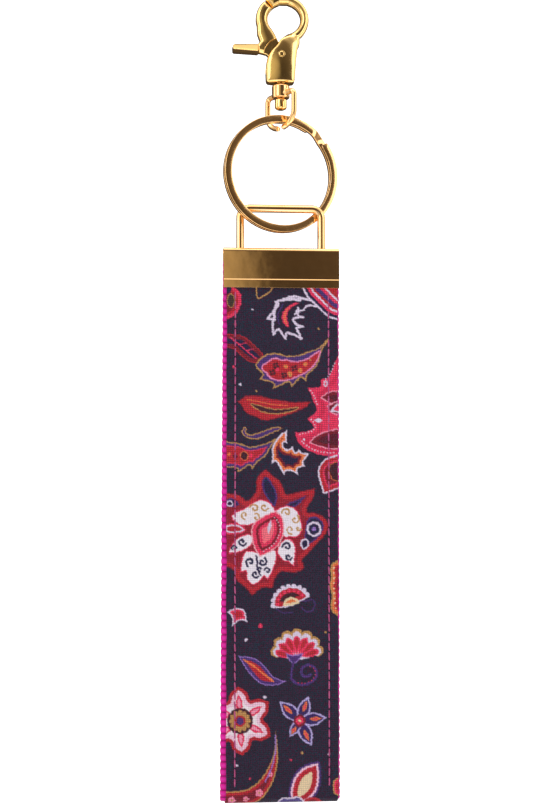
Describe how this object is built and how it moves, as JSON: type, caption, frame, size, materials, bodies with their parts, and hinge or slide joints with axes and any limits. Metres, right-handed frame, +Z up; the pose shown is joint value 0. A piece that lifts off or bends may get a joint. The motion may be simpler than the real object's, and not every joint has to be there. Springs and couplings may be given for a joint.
{
  "type": "wristlet keychain",
  "caption": "Fabric wrist strap in a metal clamp, hung by a wire bail from a split ring and a swivelling lobster claw clasp.",
  "frame": {"origin": "the small flat seat at the inside top of the claw's eye, where the object hangs", "axes": "+Z up along the hanging object, away from the strap; the strap's printed front faces -Y; +X is to the right seen from the front"},
  "size_m": [0.0324, 0.0116, 0.2231],
  "materials": {
    "gold": "polished gold plate",
    "spring_steel": "satin",
    "webbing": "ribbed woven webbing, magenta",
    "canvas": "printed canvas, dark ground with a floral and paisley print"
  },
  "bodies": {
    "claw": {"claw_body": "gold", "gate_pin": "gold", "gate_spring": "spring_steel", "swivel_rivet": "gold"},
    "gate": {"gate": "gold"},
    "swivel_eye": {"swivel_eye": "gold"},
    "split_ring": {"split_ring": "gold"},
    "bail": {"bail": "gold"},
    "clamp": {"clamp": "gold", "webbing_end_front": "webbing", "canvas_end_front": "canvas", "webbing_end_back": "webbing", "canvas_end_back": "canvas"},
    "front_1": {"webbing_front_1": "webbing", "canvas_front_1": "canvas"},
    "front_2": {"webbing_front_2": "webbing", "canvas_front_2": "canvas"},
    "front_3": {"webbing_front_3": "webbing", "canvas_front_3": "canvas"},
    "front_4": {"webbing_front_4": "webbing", "canvas_front_4": "canvas"},
    "fold": {"webbing_fold": "webbing", "canvas_fold": "canvas"},
    "back_4": {"webbing_back_4": "webbing", "canvas_back_4": "canvas"},
    "back_3": {"webbing_back_3": "webbing", "canvas_back_3": "canvas"},
    "back_2": {"webbing_back_2": "webbing", "canvas_back_2": "canvas"},
    "back_1": {"webbing_back_1": "webbing", "canvas_back_1": "canvas"}
  },
  "joints": [
    {"name": "gate_open", "type": "hinge", "parent": "claw", "child": "gate", "pos_m": [0, 0, -0.0146], "axis": [0, -1, 0], "range_deg": [0, 28], "deforming": ["gate_spring"]},
    {"name": "swivel_turn", "type": "hinge", "parent": "claw", "child": "swivel_eye", "pos_m": [0, 0, -0.0246], "axis": [0, 0, 1], "continuous": true},
    {"name": "ring_swing", "type": "hinge", "parent": "swivel_eye", "child": "split_ring", "pos_m": [0, 0, -0.0323], "axis": [0.972, 0.2351, 0], "range_deg": [-85, 85]},
    {"name": "bail_twist", "type": "hinge", "parent": "split_ring", "child": "bail", "pos_m": [0, 0, -0.062], "axis": [0, 0, -1], "range_deg": [0, 149]},
    {"name": "clamp_swing", "type": "hinge", "parent": "bail", "child": "clamp", "pos_m": [0, 0, -0.0706], "axis": [1, 0, 0], "range_deg": [-18, 18]},
    {"name": "loop_open", "type": "hinge", "parent": "clamp", "child": "front_1", "pos_m": [0, -0.0011, -0.0807], "axis": [-1, 0, 0], "range_deg": [0, 45]},
    {"name": "front_bend_2", "type": "hinge", "parent": "front_1", "child": "front_2", "pos_m": [0, -0.0011, -0.1148], "axis": [-1, 0, 0], "range_deg": [-30.5, 0.5]},
    {"name": "front_bend_3", "type": "hinge", "parent": "front_2", "child": "front_3", "pos_m": [0, -0.0011, -0.1489], "axis": [-1, 0, 0], "range_deg": [-30.5, 0.5]},
    {"name": "front_bend_4", "type": "hinge", "parent": "front_3", "child": "front_4", "pos_m": [0, -0.0011, -0.183], "axis": [-1, 0, 0], "range_deg": [-30.5, 0.5]},
    {"name": "fold_front", "type": "hinge", "parent": "front_4", "child": "fold", "pos_m": [0, -0.0011, -0.2171], "axis": [-1, 0, 0], "range_deg": [-0.5, 45.5]},
    {"name": "fold_back", "type": "hinge", "parent": "fold", "child": "back_4", "pos_m": [0, 0.0011, -0.2171], "axis": [-1, 0, 0], "range_deg": [-0.5, 45.5]},
    {"name": "back_bend_3", "type": "hinge", "parent": "back_4", "child": "back_3", "pos_m": [0, 0.0011, -0.183], "axis": [-1, 0, 0], "range_deg": [-30.5, 0.5]},
    {"name": "back_bend_2", "type": "hinge", "parent": "back_3", "child": "back_2", "pos_m": [0, 0.0011, -0.1489], "axis": [-1, 0, 0], "range_deg": [-30.5, 0.5]},
    {"name": "back_bend_1", "type": "hinge", "parent": "back_2", "child": "back_1", "pos_m": [0, 0.0011, -0.1148], "axis": [-1, 0, 0], "range_deg": [-30.5, 0.5]}
  ],
  "couplings": [
    {"joint": "front_bend_2", "follows": "loop_open", "ratio": -0.66667},
    {"joint": "front_bend_3", "follows": "loop_open", "ratio": -0.66667},
    {"joint": "front_bend_4", "follows": "loop_open", "ratio": -0.66667},
    {"joint": "fold_front", "follows": "loop_open", "ratio": 1},
    {"joint": "fold_back", "follows": "loop_open", "ratio": 1},
    {"joint": "back_bend_3", "follows": "loop_open", "ratio": -0.66667},
    {"joint": "back_bend_2", "follows": "loop_open", "ratio": -0.66667},
    {"joint": "back_bend_1", "follows": "loop_open", "ratio": -0.66667}
  ]
}
